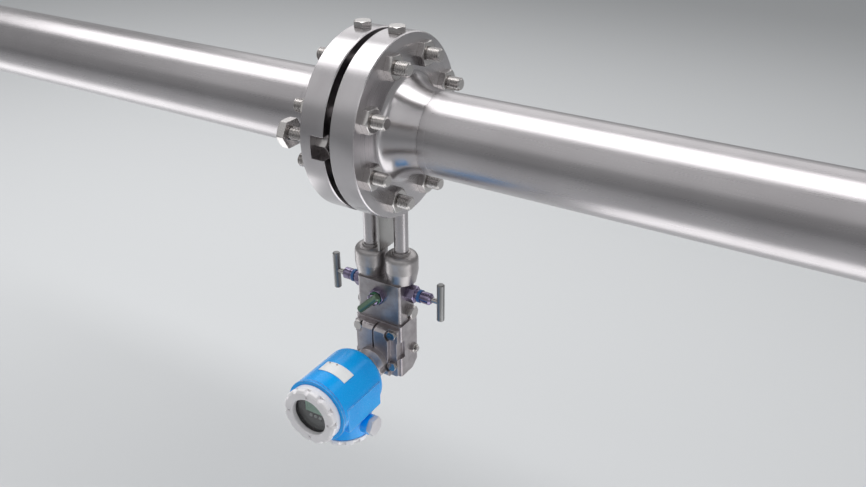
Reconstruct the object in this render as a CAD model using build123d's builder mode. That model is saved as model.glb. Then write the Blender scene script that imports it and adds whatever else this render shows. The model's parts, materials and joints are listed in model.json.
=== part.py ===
from build123d import *

import os
from math import cos, hypot, pi, radians, sin, sqrt, tan

# Orifice plate meter run: two flanged pipes clamp a sharp-edged plate, and a
# three-valve manifold with a differential pressure transmitter hangs below.
# X runs along the pipe with the flow, Z is up, and the origin is the centre of
# the orifice plate on the pipe's axis. Millimetres.

# Pipe run
pipe_diameter = 114.3
pipe_wall = 6.02
inlet_length = 1020.0
outlet_length = 660.0
weld_land = 1.6
weld_angle = 37.5
weld_cap = 0.3

# Orifice flanges
flange_diameter = 254.0
flange_thickness = 38.1
raised_face_diameter = 157.2
raised_face_height = 1.6
hub_root_diameter = 153.0
hub_throat_diameter = 132.0
hub_length = 92.1
hub_land = 8.0
hub_root_reach = 1.5
hub_flare_reach = 22.0
flange_edge_chamfer = 1.5
bolt_circle_diameter = 200.2
bolt_count = 8
bolt_hole_diameter = 22.2
stud_diameter = 19.05
stud_overhang = 18.8
stud_chamfer = 1.6
nut_across_flats = 31.75
nut_height = 10.7
fit_clearance = 0.05
thread_run_out = 1.0

# Orifice plate and gaskets
plate_stud_gap = 0.075
plate_thickness = 3.2
plate_edge_length = 2.0
orifice_diameter = 61.4
tab_width = 38.0
tab_reach = 196.0
tab_corner = 4.0
gasket_thickness = 2.0
gasket_bore = 114.3

# Pressure taps, nipples and tap plugs
tap_spacing = 54.0
tap_drill = 12.7
nipple_diameter = 21.34
nipple_wall = 3.73
tap_thread_length = 15.0
plug_across_flats = 22.2
plug_head_height = 8.0

# Jack screws that spread the flanges
jack_radius = 100.1
jack_nut_height = 18.7
jack_head_across_flats = 36.5
jack_slot_depth = 19.5
jack_slot_inset = 20.0
jack_tip_gap = 0.4
jack_head_height = 12.5
jack_stand_off = 33.3

# Process adapters below the nipples
adapter_top = -194.0
adapter_bottom = -243.0
adapter_diameter = 50.0
adapter_foot_diameter = 43.0
adapter_foot_length = 18.0
adapter_collar_diameter = 27.0
adapter_collar_height = 3.0
adapter_shoulder = 10.0
adapter_socket_depth = 16.0
adapter_spigot_length = 6.0

# Three-valve manifold
manifold_width = 76.0
manifold_front = -24.0
manifold_back = 18.0
manifold_bottom = -310.0
manifold_fillet = 5.0
isolation_level = -262.0
equalizing_level = -267.0
cross_drill_level = -295.0
passage_diameter = 6.0
cross_drill_diameter = 5.0
outlet_offset = 13.0
chamber_diameter = 11.0
chamber_depth = 12.5
seat_diameter = 5.0
link_diameter = 4.0
port_diameter = 11.0
manifold_plug_diameter = 13.2
manifold_plug_thread = 9.0
manifold_plug_flats = 19.0
manifold_plug_height = 11.0
seal_diameter = 17.0
seal_height = 2.0
manifold_bolt_diameter = 8.0
manifold_bolt_flats = 13.0
manifold_bolt_head = 5.5
manifold_bolt_engagement = 11.0
manifold_bolt_offset = 13.0
manifold_bolt_front = -17.5
manifold_bolt_back = 11.5
spot_face_diameter = 17.0
spot_face_depth = 1.0

# Needle valves
bonnet_across_flats = 23.0
bonnet_body_diameter = 17.0
bonnet_spigot_diameter = 17.0
bonnet_spigot_length = 7.5
packing_nut_diameter = 18.0
packing_thread_diameter = 12.0
packing_thread_length = 5.0
packing_nut_round = 3.0
marker_ring_length = 4.5
marker_ring_diameter = 19.6
stem_diameter = 8.0
handle_diameter = 11.5
handle_length = 62.0
handle_round = 1.6
isolation_hex_length = 15.0
isolation_body_length = 13.0
isolation_nut_length = 13.5
isolation_handle_distance = 56.2
equalizing_hex_length = 8.0
equalizing_body_length = 6.0
equalizing_nut_length = 5.5
equalizing_handle_distance = 25.6
equalizing_handle_angle = 45.0
equalizing_handle_length = 46.0
valve_pitch = 2.0
valve_turns = 2.5
needle_body_length = 2.0
needle_nose_length = 2.0
needle_gap = 0.3

# Process flange of the transmitter
cell_width = 82.0
cell_back = 19.5
cell_front = -26.5
cell_bottom = -400.0
cell_chamfer_depth = 15.0
cell_chamfer_height = 12.0
cell_corner = 3.0
cell_groove_width = 3.0
cell_groove_depth = 4.0
waist_width = 73.0
waist_depth = 10.0
waist_top = -337.0
waist_bottom = -367.0
port_depth = 54.0
port_passage_diameter = 8.0
flange_bolt_offset = 30.0
flange_bolt_top = -322.0
flange_bolt_bottom = -378.0
flange_bolt_diameter = 9.5
flange_bolt_flats = 14.3
flange_bolt_head = 6.5
flange_bolt_engagement = 18.0
flange_bolt_pocket = 20.0
vent_position = 6.5
vent_body_flats = 14.0
vent_body_height = 5.0
vent_thread_diameter = 10.0
vent_thread_length = 11.0
vent_screw_diameter = 6.0
vent_screw_flats = 8.0
vent_screw_head = 3.5

# Sensor module between the process flange and the housing
module_plate_width = 76.0
module_plate_front = -33.0
module_block_front = -42.0
module_block_width = 52.0
module_top = -314.0
module_bottom = -397.0
module_slope_depth = 9.0
module_slope_height = 5.0
module_corner = 3.0
module_drum_diameter = 50.0
module_drum_front = -58.0
module_cone_length = 6.0
module_seal_diameter = 15.0
module_seal_bore = 10.0
module_seal_thickness = 1.5
neck_diameter = 36.0
neck_engagement = 15.0
neck_bore = 10.0

# Transmitter housing
housing_level = -374.0
housing_diameter = 96.0
housing_back = -79.0
housing_front = -184.0
housing_back_radius = 15.0
collar_diameter = 97.4
collar_length = 3.5
collar_groove_width = 1.5
collar_groove_depth = 1.5
cheek_back = -94.0
cheek_front = -173.0
cheek_bottom = -401.0
cheek_top = -362.0
cheek_width = 97.0
cheek_corner = 2.5
thread_bore_diameter = 82.0
thread_bore_depth = 10.5
barrel_bore_diameter = 72.0
barrel_bore_end = -98.0
terminal_position = -121.0
terminal_diameter = 82.0
terminal_bore_diameter = 72.0
terminal_mouth = -440.0
terminal_ceiling = -413.5
entry_level = -423.0
entry_boss_diameter = 30.0
entry_reach = 50.0
entry_bore_diameter = 18.4
wire_way_diameter = 16.0
wire_way_position = -120.0
cover_gap = 0.6

# Display cover and its window
cover_length = 18.0
cover_band = 9.0
cover_diameter = 86.0
cover_front_diameter = 83.0
cover_edge_chamfer = 1.5
cover_skirt_length = 10.0
cover_skirt_wall = 4.5
cover_lug_count = 12
cover_lug_depth = 2.6
cover_lug_width = 11.0
cover_lug_length = 9.0
window_diameter = 57.0
window_bevel = 1.5
window_lip = 8.0
glass_diameter = 64.0
glass_thickness = 6.0
retainer_thickness = 3.0
spanner_hole_diameter = 4.0
spanner_hole_circle_diameter = 68.0
spanner_hole_depth = 2.0
spanner_hole_count = 4
seal_ring_width = 2.4
seal_ring_depth = 2.4
seal_ring_offset = 2.0
seal_clearance = 0.1

# Display behind the window
display_diameter = 70.0
display_thickness = 8.0
display_depth = 2.0
lcd_width = 34.0
lcd_height = 25.0
lcd_offset = 9.5
lcd_proud = 1.2
key_diameter = 5.0
key_spacing = 8.0
key_offset = -9.0
key_proud = 1.6
key_depth = 1.6
key_travel = 0.6
key_clearance = 0.1
electronics_diameter = 71.0

# Terminal cover and terminal block
terminal_cover_length = 10.9
terminal_cover_diameter = 84.0
terminal_cover_band = 7.0
terminal_cover_face_diameter = 76.0
terminal_cover_face_thickness = 4.0
terminal_skirt_length = 7.0
terminal_block_diameter = 66.0
terminal_block_thickness = 6.0
terminal_screw_circle_diameter = 34.0
terminal_screw_count = 4
terminal_screw_diameter = 6.0
terminal_screw_height = 2.5
terminal_screw_slot = 1.0

# Small fittings
blanking_head_diameter = 27.0
blanking_head_length = 8.0
blanking_shank_length = 14.0
nameplate_gap = 0.3
nameplate_thickness = 0.8
nameplate_back = -131.0
nameplate_length = 22.5
nameplate_start = -20.0
nameplate_end = 36.5
nameplate_pin_diameter = 2.6
nameplate_pin_height = 0.9
nameplate_pin_depth = 2.5
nameplate_pin_inset = 3.0
nameplate_pin_angles = (-12.0, 2.5)
lock_screw_diameter = 6.0
lock_screw_length = 10.0

# Sizes worked out from the ones above
pipe_radius = pipe_diameter / 2
bore_radius = pipe_radius - pipe_wall
plate_diameter = bolt_circle_diameter - stud_diameter - 2 * plate_stud_gap
flange_radius = flange_diameter / 2
face_x = plate_thickness / 2 + gasket_thickness
rim_x = face_x + raised_face_height
back_x = face_x + flange_thickness
hub_end_x = face_x + hub_length
tap_x = tap_spacing / 2
weld_reach = (pipe_wall - weld_land) * tan(radians(weld_angle))
nut_bore = stud_diameter + 2 * fit_clearance
side_face = manifold_width / 2
port_level = manifold_bottom - port_depth
housing_radius = housing_diameter / 2
valve_travel = valve_pitch * valve_turns
module_middle = (module_top + module_bottom) / 2
bolt_places = [
    (bolt_circle_diameter / 2 * cos(angle), bolt_circle_diameter / 2 * sin(angle))
    for angle in (2 * pi * (step + 0.5) / bolt_count for step in range(bolt_count))
]

os.makedirs("parts", exist_ok=True)


def save(builder, name):
    """Label a finished piece and write it to its own file."""
    builder.part.label = name
    export_step(builder.part, f"parts/{name}.step")


def facing(origin, outward):
    """A plane at a point whose normal is the outward direction."""
    across = (0, 1, 0) if abs(outward[0]) > 0.5 else (1, 0, 0)
    return Plane(origin=origin, x_dir=across, z_dir=outward)


def profile(plane, *points):
    """A closed straight-sided outline on a plane."""
    with BuildSketch(plane) as sketch:
        with BuildLine():
            Polyline(*points, close=True)
        make_face()
    return sketch.sketch


def disc(plane, diameter, bore=0.0):
    """A round outline, with a hole if a bore is given."""
    with BuildSketch(plane) as sketch:
        Circle(diameter / 2)
        if bore:
            Circle(bore / 2, mode=Mode.SUBTRACT)
    return sketch.sketch


def turned(plane, *points):
    """A solid of revolution about a plane's normal, from (radius, height) points."""
    section = Plane(origin=plane.origin, x_dir=plane.x_dir, z_dir=-plane.y_dir)
    with BuildPart() as piece:
        revolve(profile(section, *points), axis=Axis(plane.origin, plane.z_dir))
    return piece.part


def hex_prism(plane, across_flats, height):
    """A hexagon standing on a plane, with its outer corners turned down."""
    corner = across_flats / sqrt(3) * 1.02
    crown = across_flats * 0.475
    with BuildPart() as prism:
        with BuildSketch(plane):
            RegularPolygon(radius=across_flats / 2, side_count=6, major_radius=False)
        extrude(amount=height)
        shoulder = height - (corner - crown) * tan(radians(30))
        add(
            turned(plane, (0, 0), (corner, 0), (corner, shoulder), (crown, height), (0, height)),
            mode=Mode.INTERSECT,
        )
    return prism.part


def hex_nut(plane, across_flats, height, bore):
    """A hexagon nut standing on a plane."""
    with BuildPart() as nut:
        add(hex_prism(plane, across_flats, height))
        extrude(disc(plane, bore), amount=height, mode=Mode.SUBTRACT)
    return nut.part


def hex_bolt(plane, across_flats, head_height, diameter, length):
    """A bolt whose head stands on a plane and whose shank goes back through it."""
    with BuildPart() as bolt:
        add(hex_prism(plane, across_flats, head_height))
        extrude(disc(plane, diameter), amount=-length)
    return bolt.part


# Pipes, each with a bevelled weld end at its flange and at its open end
def pipe(side, length):
    """One pipe from the weld at its flange hub to its open end."""
    with BuildPart() as tube:
        revolve(
            profile(
                Plane.XZ,
                (side * hub_end_x, bore_radius),
                (side * hub_end_x, bore_radius + weld_land),
                (side * (hub_end_x + weld_reach), pipe_radius),
                (side * (length - weld_reach), pipe_radius),
                (side * length, bore_radius + weld_land),
                (side * length, bore_radius),
            ),
            axis=Axis.X,
        )
    return tube


save(pipe(-1, inlet_length), "inlet_pipe")
save(pipe(1, outlet_length), "outlet_pipe")

# Weld metal that fills the groove between each pipe and its flange hub
with BuildPart() as girth_welds:
    for side in (-1, 1):
        revolve(
            profile(
                Plane.XZ,
                (side * hub_end_x, bore_radius + weld_land),
                (side * (hub_end_x + weld_reach), pipe_radius),
                (side * (hub_end_x + weld_reach / 2), pipe_radius + weld_cap),
                (side * (hub_end_x - weld_reach / 2), pipe_radius + weld_cap),
                (side * (hub_end_x - weld_reach), pipe_radius),
            ),
            axis=Axis.X,
        )
save(girth_welds, "girth_welds")


# Weld neck orifice flanges with bolt holes, pressure taps and a jack screw slot
def orifice_flange(side):
    """One flange. The upstream jack screw is in front and the other one behind."""
    jack_y = side * jack_radius
    slot_inner = jack_radius - jack_slot_inset
    with BuildPart() as flange:
        with BuildSketch(Plane.XZ):
            with BuildLine():
                Polyline(
                    (side * face_x, bore_radius),
                    (side * face_x, raised_face_diameter / 2),
                    (side * rim_x, raised_face_diameter / 2),
                    (side * rim_x, flange_radius - flange_edge_chamfer),
                    (side * (rim_x + flange_edge_chamfer), flange_radius),
                    (side * (back_x - flange_edge_chamfer), flange_radius),
                    (side * back_x, flange_radius - flange_edge_chamfer),
                    (side * back_x, hub_root_diameter / 2),
                )
                Bezier(
                    (side * back_x, hub_root_diameter / 2),
                    (side * (back_x + hub_root_reach), hub_throat_diameter / 2),
                    (side * (back_x + hub_flare_reach), pipe_radius),
                    (side * (hub_end_x - hub_land), pipe_radius),
                )
                Polyline(
                    (side * (hub_end_x - hub_land), pipe_radius),
                    (side * (hub_end_x - weld_reach), pipe_radius),
                    (side * hub_end_x, bore_radius + weld_land),
                    (side * hub_end_x, bore_radius),
                    (side * face_x, bore_radius),
                )
            make_face()
        revolve(axis=Axis.X)
        with BuildSketch(Plane.YZ.offset(side * rim_x)):
            with PolarLocations(bolt_circle_diameter / 2, bolt_count, start_angle=180 / bolt_count):
                Circle(bolt_hole_diameter / 2)
            with Locations((jack_y, 0)):
                Circle(bolt_hole_diameter / 2)
        extrude(amount=side * flange_thickness, mode=Mode.SUBTRACT)
        with BuildSketch(Plane.YZ.offset(side * rim_x)):
            with Locations((side * (slot_inner + flange_radius) / 2, 0)):
                Rectangle(flange_radius - slot_inner, nut_across_flats + 2 * fit_clearance)
        extrude(amount=side * jack_slot_depth, mode=Mode.SUBTRACT)
        for direction in (-1, 1):
            with Locations(facing((side * tap_x, 0, direction * flange_radius), (0, 0, direction))):
                CounterBoreHole(
                    radius=tap_drill / 2,
                    counter_bore_radius=nipple_diameter / 2,
                    counter_bore_depth=tap_thread_length,
                    depth=flange_radius - bore_radius + pipe_wall,
                )
    return flange


save(orifice_flange(-1), "upstream_flange")
save(orifice_flange(1), "downstream_flange")

# Orifice plate with a square inlet edge, an outlet bevel and its tab
with BuildPart() as orifice_plate:
    with BuildSketch(Plane.YZ.offset(-plate_thickness / 2)) as plate_outline:
        Circle(plate_diameter / 2)
        with Locations((0, -tab_reach / 2)):
            Rectangle(tab_width, tab_reach)
        fillet(plate_outline.vertices().group_by(Axis.Z)[0], tab_corner)
    extrude(amount=plate_thickness)
    bevel_depth = plate_thickness - plate_edge_length
    add(
        turned(
            facing((-plate_thickness / 2, 0, 0), (1, 0, 0)),
            (0, 0),
            (orifice_diameter / 2, 0),
            (orifice_diameter / 2, plate_edge_length),
            (orifice_diameter / 2 + bevel_depth, plate_thickness),
            (0, plate_thickness),
        ),
        mode=Mode.SUBTRACT,
    )
save(orifice_plate, "orifice_plate")

# Ring gaskets on both sides of the plate
with BuildPart() as flange_gaskets:
    for side in (-1, 1):
        seat = facing((side * plate_thickness / 2, 0, 0), (side, 0, 0))
        extrude(disc(seat, plate_diameter, gasket_bore), amount=gasket_thickness)
save(flange_gaskets, "flange_gaskets")

# Studs and thin heavy hexagon nuts
stud_half = back_x + nut_height + stud_overhang
with BuildPart() as flange_studs:
    with BuildSketch(Plane.YZ.offset(-stud_half)):
        with PolarLocations(bolt_circle_diameter / 2, bolt_count, start_angle=180 / bolt_count):
            Circle(stud_diameter / 2)
    extrude(amount=2 * stud_half)
    chamfer(flange_studs.edges().filter_by(GeomType.CIRCLE), stud_chamfer)
save(flange_studs, "flange_studs")

with BuildPart() as flange_nuts:
    for side in (-1, 1):
        for across, along in bolt_places:
            seat = facing((side * back_x, across, along), (side, 0, 0))
            add(hex_nut(seat, nut_across_flats, nut_height, nut_bore))
save(flange_nuts, "flange_nuts")

# Hexagon head plugs in the two upper pressure taps
with BuildPart() as tap_plugs:
    for side in (-1, 1):
        add(
            hex_bolt(
                facing((side * tap_x, 0, flange_radius), (0, 0, 1)),
                plug_across_flats,
                plug_head_height,
                nipple_diameter,
                tap_thread_length - thread_run_out,
            )
        )
save(tap_plugs, "tap_plugs")

# Captive nuts of the jack screws, held from turning by the slots
with BuildPart() as jack_nuts:
    for side in (-1, 1):
        slot_floor = facing(
            (side * (rim_x + jack_slot_depth), side * jack_radius, 0), (-side, 0, 0)
        )
        add(hex_nut(slot_floor, nut_across_flats, jack_nut_height, nut_bore))
save(jack_nuts, "jack_nuts")

# Jack screws, each through one flange and pointing at the other
for side, name in ((-1, "upstream_jack_screw"), (1, "downstream_jack_screw")):
    head_distance = back_x + jack_stand_off
    with BuildPart() as jack_screw:
        add(
            hex_bolt(
                facing((side * head_distance, side * jack_radius, 0), (side, 0, 0)),
                jack_head_across_flats,
                jack_head_height,
                stud_diameter,
                head_distance + rim_x - jack_tip_gap,
            )
        )
    save(jack_screw, name)

# Nipples from the lower pressure taps to the process adapters
nipple_top = -flange_radius + tap_thread_length
socket_floor = adapter_top - adapter_socket_depth
with BuildPart() as tap_nipples:
    for side in (-1, 1):
        nipple_end = facing((side * tap_x, 0, nipple_top), (0, 0, 1))
        extrude(
            disc(nipple_end, nipple_diameter, nipple_diameter - 2 * nipple_wall),
            amount=socket_floor - nipple_top,
        )
save(tap_nipples, "tap_nipples")

# Process adapters, domed barrels that join each nipple to the manifold
with BuildPart() as process_adapters:
    collar_radius = adapter_collar_diameter / 2
    barrel_radius = adapter_diameter / 2
    spigot_radius = nipple_diameter / 2
    dome_level = adapter_top - adapter_collar_height
    shoulder_start = (barrel_radius - adapter_shoulder, dome_level)
    shoulder_end = (barrel_radius, dome_level - adapter_shoulder)
    for side in (-1, 1):
        with BuildSketch(Plane.XZ.move(Location((side * tap_x, 0, 0)))):
            with BuildLine():
                Polyline(
                    (spigot_radius, socket_floor),
                    (spigot_radius, adapter_top),
                    (collar_radius, adapter_top),
                    (collar_radius, dome_level),
                    shoulder_start,
                )
                TangentArc(shoulder_start, shoulder_end, tangent=(1, 0))
                Polyline(
                    shoulder_end,
                    (barrel_radius, adapter_bottom + adapter_foot_length),
                    (adapter_foot_diameter / 2, adapter_bottom),
                    (spigot_radius, adapter_bottom),
                    (spigot_radius, adapter_bottom - adapter_spigot_length),
                    (passage_diameter / 2, adapter_bottom - adapter_spigot_length),
                    (passage_diameter / 2, socket_floor),
                    (spigot_radius, socket_floor),
                )
            make_face()
        revolve(axis=Axis((side * tap_x, 0, 0), (0, 0, 1)))
save(process_adapters, "process_adapters")

# Manifold block with its drilled passages
seat_start = bonnet_spigot_length + chamber_depth
equalizing_floor = manifold_front + seat_start
with BuildPart() as manifold_body:
    with BuildSketch(Plane.XY.offset(manifold_bottom)) as manifold_outline:
        with Locations((0, (manifold_back + manifold_front) / 2)):
            Rectangle(manifold_width, manifold_back - manifold_front)
        fillet(manifold_outline.vertices(), manifold_fillet)
    extrude(amount=adapter_bottom - manifold_bottom)
    for side in (-1, 1):
        # Adapter socket and inlet passage
        with Locations(facing((side * tap_x, 0, adapter_bottom), (0, 0, 1))):
            CounterBoreHole(
                radius=passage_diameter / 2,
                counter_bore_radius=nipple_diameter / 2,
                counter_bore_depth=adapter_spigot_length,
                depth=adapter_bottom - isolation_level,
            )
        # Isolation valve chamber and seat
        with Locations(facing((side * side_face, 0, isolation_level), (side, 0, 0))):
            CounterBoreHole(
                radius=chamber_diameter / 2,
                counter_bore_radius=bonnet_spigot_diameter / 2,
                counter_bore_depth=bonnet_spigot_length,
                depth=seat_start,
            )
            Hole(seat_diameter / 2, depth=side_face - outlet_offset)
        # Outlet passage, its cross drilling and the port below
        extrude(
            disc(facing((side * outlet_offset, 0, isolation_level), (0, 0, -1)), passage_diameter),
            amount=isolation_level - cross_drill_level,
            mode=Mode.SUBTRACT,
        )
        with Locations(facing((side * side_face, 0, cross_drill_level), (side, 0, 0))):
            CounterBoreHole(
                radius=cross_drill_diameter / 2,
                counter_bore_radius=manifold_plug_diameter / 2,
                counter_bore_depth=manifold_plug_thread,
                depth=side_face - outlet_offset,
            )
        with Locations(facing((side * tap_x, 0, manifold_bottom), (0, 0, -1))):
            CounterBoreHole(
                radius=passage_diameter / 2,
                counter_bore_radius=seal_diameter / 2,
                counter_bore_depth=seal_height,
                depth=cross_drill_level - manifold_bottom,
            )
        for bolt_y in (manifold_bolt_front, manifold_bolt_back):
            with Locations(
                facing((side * manifold_bolt_offset, bolt_y, manifold_bottom), (0, 0, -1))
            ):
                Hole(manifold_bolt_diameter / 2, depth=manifold_bolt_engagement)
    # Equalizing valve chamber, its seat and the links to the two outlets
    with Locations(facing((0, manifold_front, equalizing_level), (0, -1, 0))):
        CounterBoreHole(
            radius=chamber_diameter / 2,
            counter_bore_radius=bonnet_spigot_diameter / 2,
            counter_bore_depth=bonnet_spigot_length,
            depth=seat_start,
        )
        Hole(seat_diameter / 2, depth=-manifold_front)
    extrude(
        disc(facing((0, 0, equalizing_level), (1, 0, 0)), link_diameter),
        amount=outlet_offset,
        mode=Mode.SUBTRACT,
    )
    slant_start = equalizing_floor - chamber_depth / 2
    slant_length = hypot(outlet_offset, slant_start)
    slant_direction = (outlet_offset / slant_length, slant_start / slant_length, 0)
    slant_plane = Plane(origin=(-outlet_offset, 0, equalizing_level), z_dir=slant_direction)
    extrude(disc(slant_plane, link_diameter), amount=slant_length, mode=Mode.SUBTRACT)
save(manifold_body, "manifold_body")


# Needle valves, described outwards from the face that each one is screwed into
class NeedleValve:
    """Sizes and pieces of one valve, on a plane whose normal points outwards."""

    def __init__(
        self, plane, hex_length, body_length, nut_length, handle_distance, bar_length, closed, tilt
    ):
        self.plane = plane
        self.hex_end = hex_length
        self.body_end = hex_length + body_length
        self.nut_end = self.body_end + nut_length
        self.handle_distance = handle_distance
        self.bar_length = bar_length
        self.inward = valve_travel if closed else 0.0
        self.needle_back = -bonnet_spigot_length - needle_gap - self.inward
        self.tilt = tilt

    def bonnet(self):
        """Hexagon bonnet with its threaded spigot and packing pocket."""
        with BuildPart() as bonnet:
            add(hex_prism(self.plane, bonnet_across_flats, self.hex_end))
            extrude(disc(self.plane, bonnet_spigot_diameter), amount=-bonnet_spigot_length)
            extrude(disc(self.plane, bonnet_body_diameter), amount=self.body_end)
            with Locations(self.plane.offset(self.body_end)):
                CounterBoreHole(
                    radius=stem_diameter / 2 + fit_clearance,
                    counter_bore_radius=packing_thread_diameter / 2,
                    counter_bore_depth=packing_thread_length,
                    depth=self.body_end + bonnet_spigot_length,
                )
        return bonnet.part

    def packing_nut(self):
        """Round gland nut with a rounded outer end."""
        inner = stem_diameter / 2 + fit_clearance
        outer = packing_nut_diameter / 2
        return turned(
            self.plane,
            (inner, self.body_end - packing_thread_length),
            (packing_thread_diameter / 2, self.body_end - packing_thread_length),
            (packing_thread_diameter / 2, self.body_end),
            (outer, self.body_end),
            (outer, self.nut_end - packing_nut_round),
            (outer - packing_nut_round, self.nut_end),
            (inner, self.nut_end),
        )

    def marker_ring(self):
        """Coloured ring round the bonnet that tells the valves apart."""
        middle = (self.hex_end + self.body_end) / 2
        ring_plane = self.plane.offset(middle - marker_ring_length / 2)
        with BuildPart() as ring:
            extrude(
                disc(ring_plane, marker_ring_diameter, bonnet_body_diameter),
                amount=marker_ring_length,
            )
        return ring.part

    def needle(self):
        """Tip that slides in the chamber without turning."""
        chamber_floor = -(bonnet_spigot_length + chamber_depth)
        shoulder = chamber_floor + valve_travel + needle_gap - self.inward
        nose = seat_diameter / 2 - needle_gap
        body = chamber_diameter / 2 - fit_clearance
        return turned(
            self.plane,
            (0, self.needle_back),
            (body, self.needle_back),
            (body, self.needle_back - needle_body_length),
            (nose, shoulder),
            (nose * 0.6, shoulder - needle_nose_length),
            (0, shoulder - needle_nose_length),
        )

    def stem(self):
        """Spindle from the needle to the middle of the handle."""
        with BuildPart() as stem:
            end = self.plane.offset(self.needle_back)
            extrude(disc(end, stem_diameter), amount=self.handle_distance - self.needle_back)
        return stem.part

    def handle(self):
        """Round cross bar with softened ends, held on the spindle's end."""
        bar_plane = self.plane.offset(self.handle_distance)
        tilt = radians(self.tilt)
        bar_axis = bar_plane.x_dir * cos(tilt) + bar_plane.y_dir * sin(tilt)
        end = Plane(origin=bar_plane.origin - bar_axis * (self.bar_length / 2), z_dir=bar_axis)
        radius = handle_diameter / 2
        return turned(
            end,
            (0, 0),
            (radius - handle_round, 0),
            (radius, handle_round),
            (radius, self.bar_length - handle_round),
            (radius - handle_round, self.bar_length),
            (0, self.bar_length),
        )


def isolation_valve(side):
    """A block valve on the end of the manifold, shown open."""
    return NeedleValve(
        facing((side * side_face, 0, isolation_level), (side, 0, 0)),
        isolation_hex_length,
        isolation_body_length,
        isolation_nut_length,
        isolation_handle_distance,
        handle_length,
        closed=False,
        tilt=90,
    )


valves = {
    "upstream": isolation_valve(-1),
    "downstream": isolation_valve(1),
    "equalizing": NeedleValve(
        facing((0, manifold_front, equalizing_level), (0, -1, 0)),
        equalizing_hex_length,
        equalizing_body_length,
        equalizing_nut_length,
        equalizing_handle_distance,
        equalizing_handle_length,
        closed=True,
        tilt=equalizing_handle_angle,
    ),
}

with BuildPart() as valve_bonnets:
    for valve in valves.values():
        add(valve.bonnet())
save(valve_bonnets, "valve_bonnets")

with BuildPart() as packing_nuts:
    for valve in valves.values():
        add(valve.packing_nut())
save(packing_nuts, "packing_nuts")

with BuildPart() as isolation_marker_rings:
    add(valves["upstream"].marker_ring())
    add(valves["downstream"].marker_ring())
save(isolation_marker_rings, "isolation_marker_rings")

with BuildPart() as equalizing_marker_ring:
    add(valves["equalizing"].marker_ring())
save(equalizing_marker_ring, "equalizing_marker_ring")

for valve_name, valve in valves.items():
    with BuildPart() as valve_needle:
        add(valve.needle())
    save(valve_needle, f"{valve_name}_needle")
    with BuildPart() as valve_stem:
        add(valve.stem())
    save(valve_stem, f"{valve_name}_stem")
    with BuildPart() as valve_handle:
        add(valve.handle())
        add(valve.stem(), mode=Mode.SUBTRACT)
    save(valve_handle, f"{valve_name}_handle")

# Plugs in the manifold's cross drillings
with BuildPart() as manifold_plugs:
    for side in (-1, 1):
        add(
            hex_bolt(
                facing((side * side_face, 0, cross_drill_level), (side, 0, 0)),
                manifold_plug_flats,
                manifold_plug_height,
                manifold_plug_diameter,
                manifold_plug_thread,
            )
        )
save(manifold_plugs, "manifold_plugs")

# Seal rings between the manifold and the process flange
with BuildPart() as manifold_seals:
    for side in (-1, 1):
        seat = facing((side * tap_x, 0, manifold_bottom), (0, 0, 1))
        extrude(disc(seat, seal_diameter, port_diameter), amount=seal_height)
save(manifold_seals, "manifold_seals")


def side_waists(front, back):
    """Cutters that narrow a plate between its upper and lower bolts."""
    with BuildPart() as cutters:
        with BuildSketch(Plane.XZ.offset(-back)):
            with Locations((0, (waist_top + waist_bottom) / 2)):
                Rectangle(2 * cell_width, waist_top - waist_bottom)
                Rectangle(waist_width, waist_top - waist_bottom, mode=Mode.SUBTRACT)
        extrude(amount=back - front)
    return cutters.part


# Process flange with its ports, vent bores, bolt holes, waists and middle groove
with BuildPart() as process_flange:
    extrude(
        profile(
            Plane.YZ.offset(-cell_width / 2),
            (cell_front, manifold_bottom),
            (cell_back, manifold_bottom),
            (cell_back, cell_bottom + cell_chamfer_height),
            (cell_back - cell_chamfer_depth, cell_bottom),
            (cell_front, cell_bottom),
        ),
        amount=cell_width,
    )
    upright_edges = process_flange.edges().filter_by(Axis.Z)
    fillet(upright_edges, cell_corner)
    for side in (-1, 1):
        with Locations(facing((side * tap_x, 0, manifold_bottom), (0, 0, 1))):
            Hole(port_diameter / 2, depth=port_depth)
        with Locations(facing((side * tap_x, cell_front, port_level), (0, -1, 0))):
            Hole(port_passage_diameter / 2, depth=-cell_front)
        with Locations(facing((side * cell_width / 2, vent_position, port_level), (side, 0, 0))):
            CounterBoreHole(
                radius=vent_screw_diameter / 2,
                counter_bore_radius=vent_thread_diameter / 2,
                counter_bore_depth=vent_thread_length,
                depth=cell_width / 2 - tap_x,
            )
        for bolt_level in (flange_bolt_top, flange_bolt_bottom):
            with Locations(facing((side * flange_bolt_offset, cell_front, bolt_level), (0, -1, 0))):
                Hole(flange_bolt_diameter / 2, depth=flange_bolt_engagement)
        for bolt_y in (manifold_bolt_front, manifold_bolt_back):
            with Locations(facing((side * manifold_bolt_offset, bolt_y, cell_bottom), (0, 0, -1))):
                CounterBoreHole(
                    radius=manifold_bolt_diameter / 2,
                    counter_bore_radius=spot_face_diameter / 2,
                    counter_bore_depth=cell_chamfer_height if bolt_y > 0 else spot_face_depth,
                    depth=manifold_bottom - cell_bottom,
                )
    with BuildSketch(Plane.XY.offset(cell_bottom)):
        with Locations((0, cell_back)):
            Rectangle(cell_groove_width, 2 * cell_groove_depth)
    extrude(amount=manifold_bottom - cell_bottom, mode=Mode.SUBTRACT)
    add(side_waists(cell_front, cell_front + waist_depth), mode=Mode.SUBTRACT)
save(process_flange, "process_flange")

# Bolts that clamp the process flange up against the manifold
with BuildPart() as manifold_bolts:
    for side in (-1, 1):
        for bolt_y in (manifold_bolt_front, manifold_bolt_back):
            head_level = cell_bottom + (cell_chamfer_height if bolt_y > 0 else spot_face_depth)
            add(
                hex_bolt(
                    facing((side * manifold_bolt_offset, bolt_y, head_level), (0, 0, -1)),
                    manifold_bolt_flats,
                    manifold_bolt_head,
                    manifold_bolt_diameter,
                    manifold_bottom + manifold_bolt_engagement - thread_run_out - head_level,
                )
            )
save(manifold_bolts, "manifold_bolts")

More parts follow.
